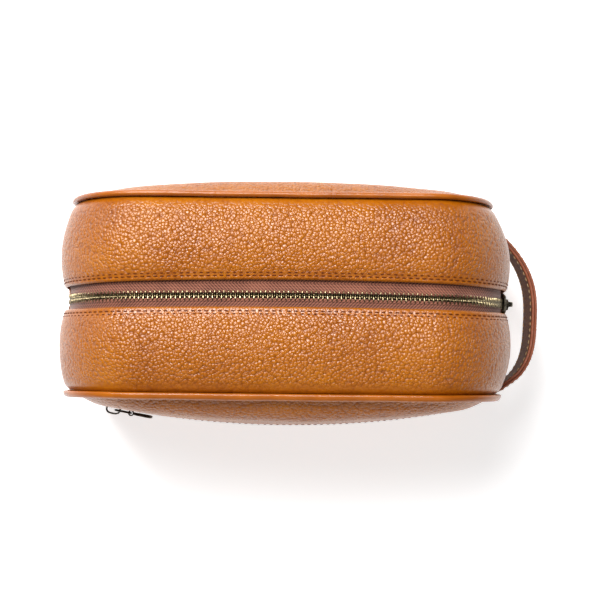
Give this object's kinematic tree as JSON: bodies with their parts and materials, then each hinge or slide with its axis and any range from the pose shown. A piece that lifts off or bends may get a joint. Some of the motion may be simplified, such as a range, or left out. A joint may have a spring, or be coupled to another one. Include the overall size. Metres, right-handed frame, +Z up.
{
  "type": "shaving kit bag",
  "caption": "Boxy leather wash bag with piped, bulging front and back panels, a zipped top gusset, a front zip pocket and a side carrying strap.",
  "frame": {"origin": "centre of the flat base, on the surface that the bag stands on", "axes": "+X across the bag towards the side strap and the closed zip slider, -Y towards the front pocket, +Z up"},
  "size_m": [0.2716, 0.1349, 0.15],
  "materials": {
    "leather": "satin pebble grain",
    "piping": "satin, smooth over a cord",
    "strap_backing": "matt",
    "zip_tape": "woven",
    "brass": "antique",
    "dark_metal": "dark antique",
    "lining": "woven",
    "piping_cord": "twisted",
    "board": "matt"
  },
  "bodies": {
    "bag": {"back_lining": "lining", "back_panel": "leather", "back_piping": "piping", "back_piping_cord": "piping_cord", "base_board": "board", "base_gusset": "leather", "front_lining": "lining", "front_panel": "leather", "front_piping": "piping", "front_piping_cord": "piping_cord", "gusset_back_left": "leather", "gusset_back_right": "leather", "gusset_front_left": "leather", "gusset_front_right": "leather", "gusset_lining": "lining", "pocket_pouch": "lining", "pocket_stop_left": "dark_metal", "pocket_stop_right": "dark_metal", "pocket_tape_lower": "zip_tape", "pocket_tape_upper": "zip_tape", "pocket_teeth_lower": "dark_metal", "pocket_teeth_upper": "dark_metal", "strap_end_back": "leather", "strap_end_front": "leather", "zip_bottom_stop": "brass", "zip_tape_back_left": "zip_tape", "zip_tape_back_right": "zip_tape", "zip_tape_front_left": "zip_tape", "zip_tape_front_right": "zip_tape", "zip_teeth_back_left": "brass", "zip_teeth_back_right": "brass", "zip_teeth_front_left": "brass", "zip_teeth_front_right": "brass", "zip_top_stop_back": "brass", "zip_top_stop_front": "brass"},
    "mouth_front": {"gusset_front_top": "leather", "zip_tape_front_top": "zip_tape", "zip_teeth_front_top": "brass", "lining_front_flap": "lining"},
    "mouth_back": {"gusset_back_top": "leather", "zip_tape_back_top": "zip_tape", "zip_teeth_back_top": "brass", "lining_back_flap": "lining"},
    "main_slider": {"main_slider": "brass", "main_slider_back_plate": "brass", "main_slider_bail": "brass"},
    "main_pull": {"main_pull_link": "brass", "main_pull_tab": "brass"},
    "pocket_slider": {"pocket_slider": "dark_metal", "pocket_slider_back_plate": "dark_metal", "pocket_slider_bail": "dark_metal"},
    "pocket_pull": {"pocket_pull_link": "dark_metal", "pocket_pull_tab": "dark_metal"},
    "strap": {"strap_outer": "leather", "strap_backing": "strap_backing"}
  },
  "joints": [
    {"name": "mouth_front_fold", "type": "hinge", "parent": "bag", "child": "mouth_front", "pos_m": [0, -0.0499, 0.1455], "axis": [1, 0, 0], "range_deg": [0, 70]},
    {"name": "mouth_back_fold", "type": "hinge", "parent": "bag", "child": "mouth_back", "pos_m": [0, 0.0499, 0.1455], "axis": [-1, 0, 0], "range_deg": [0, 70]},
    {"name": "main_slider_run", "type": "hinge", "parent": "bag", "child": "main_slider", "pos_m": [0.0775, 0, 0.1025], "axis": [0, -1, 0], "range_deg": [0, 75]},
    {"name": "main_pull_swing", "type": "hinge", "parent": "main_slider", "child": "main_pull", "pos_m": [0.1244, 0, 0.1013], "axis": [0, -1, 0], "range_deg": [0, 170]},
    {"name": "pocket_slider_run", "type": "hinge", "parent": "bag", "child": "pocket_slider", "pos_m": [0, 0.4515, 0.096], "axis": [0, 0, 1], "range_deg": [0, 20.4]},
    {"name": "pocket_pull_swing", "type": "hinge", "parent": "pocket_slider", "child": "pocket_pull", "pos_m": [-0.09512, -0.06136, 0.096], "axis": [0, 0, -1], "range_deg": [0, 160]},
    {"name": "strap_swing", "type": "hinge", "parent": "bag", "child": "strap", "pos_m": [0.13276, 0, 0.055], "axis": [0, -1, 0], "range_deg": [-30, 30], "stiffness_Nm_per_rad": 0.15}
  ]
}
